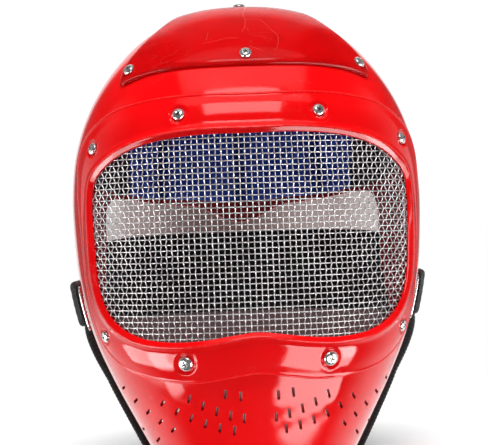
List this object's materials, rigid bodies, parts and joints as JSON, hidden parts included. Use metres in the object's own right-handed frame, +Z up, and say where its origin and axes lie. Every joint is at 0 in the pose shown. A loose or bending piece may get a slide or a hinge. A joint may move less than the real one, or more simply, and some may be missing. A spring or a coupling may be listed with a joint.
{
  "type": "fencing mask",
  "caption": "Full-face helmet-shaped mask: moulded shell with an open back, bulging wire visor clamped by a screwed frame, raised crown plate, padded liner and elastic back strap.",
  "frame": {"origin": "under the middle of the mask, on the surface that it stands on", "axes": "+Z up through the crown, -Y out of the face, +X to the right of someone who faces the mask"},
  "size_m": [0.2494, 0.2438, 0.3153],
  "materials": {
    "red_plastic": "glossy moulded",
    "steel_wire": "bright drawn wire",
    "bright_screw": "bright plated",
    "navy_padding": "cloth over foam",
    "black_webbing": "woven"
  },
  "bodies": {
    "root": {"shell": "red_plastic", "crown_plate": "red_plastic", "face_frame": "red_plastic", "visor_mesh": "steel_wire", "crown_liner": "navy_padding", "back_strap": "black_webbing", "jaw_edging_left": "black_webbing", "jaw_edging_right": "black_webbing", "strap_loop_left": "bright_screw", "strap_loop_right": "bright_screw", "screw_crown_front": "bright_screw", "screw_crown_top": "bright_screw", "screw_crown_left": "bright_screw", "screw_crown_right": "bright_screw", "screw_brow_left": "bright_screw", "screw_brow_right": "bright_screw", "screw_temple_left": "bright_screw", "screw_temple_right": "bright_screw", "screw_cheek_left": "bright_screw", "screw_cheek_right": "bright_screw", "screw_chin_left": "bright_screw", "screw_chin_right": "bright_screw"}
  },
  "joints": []
}
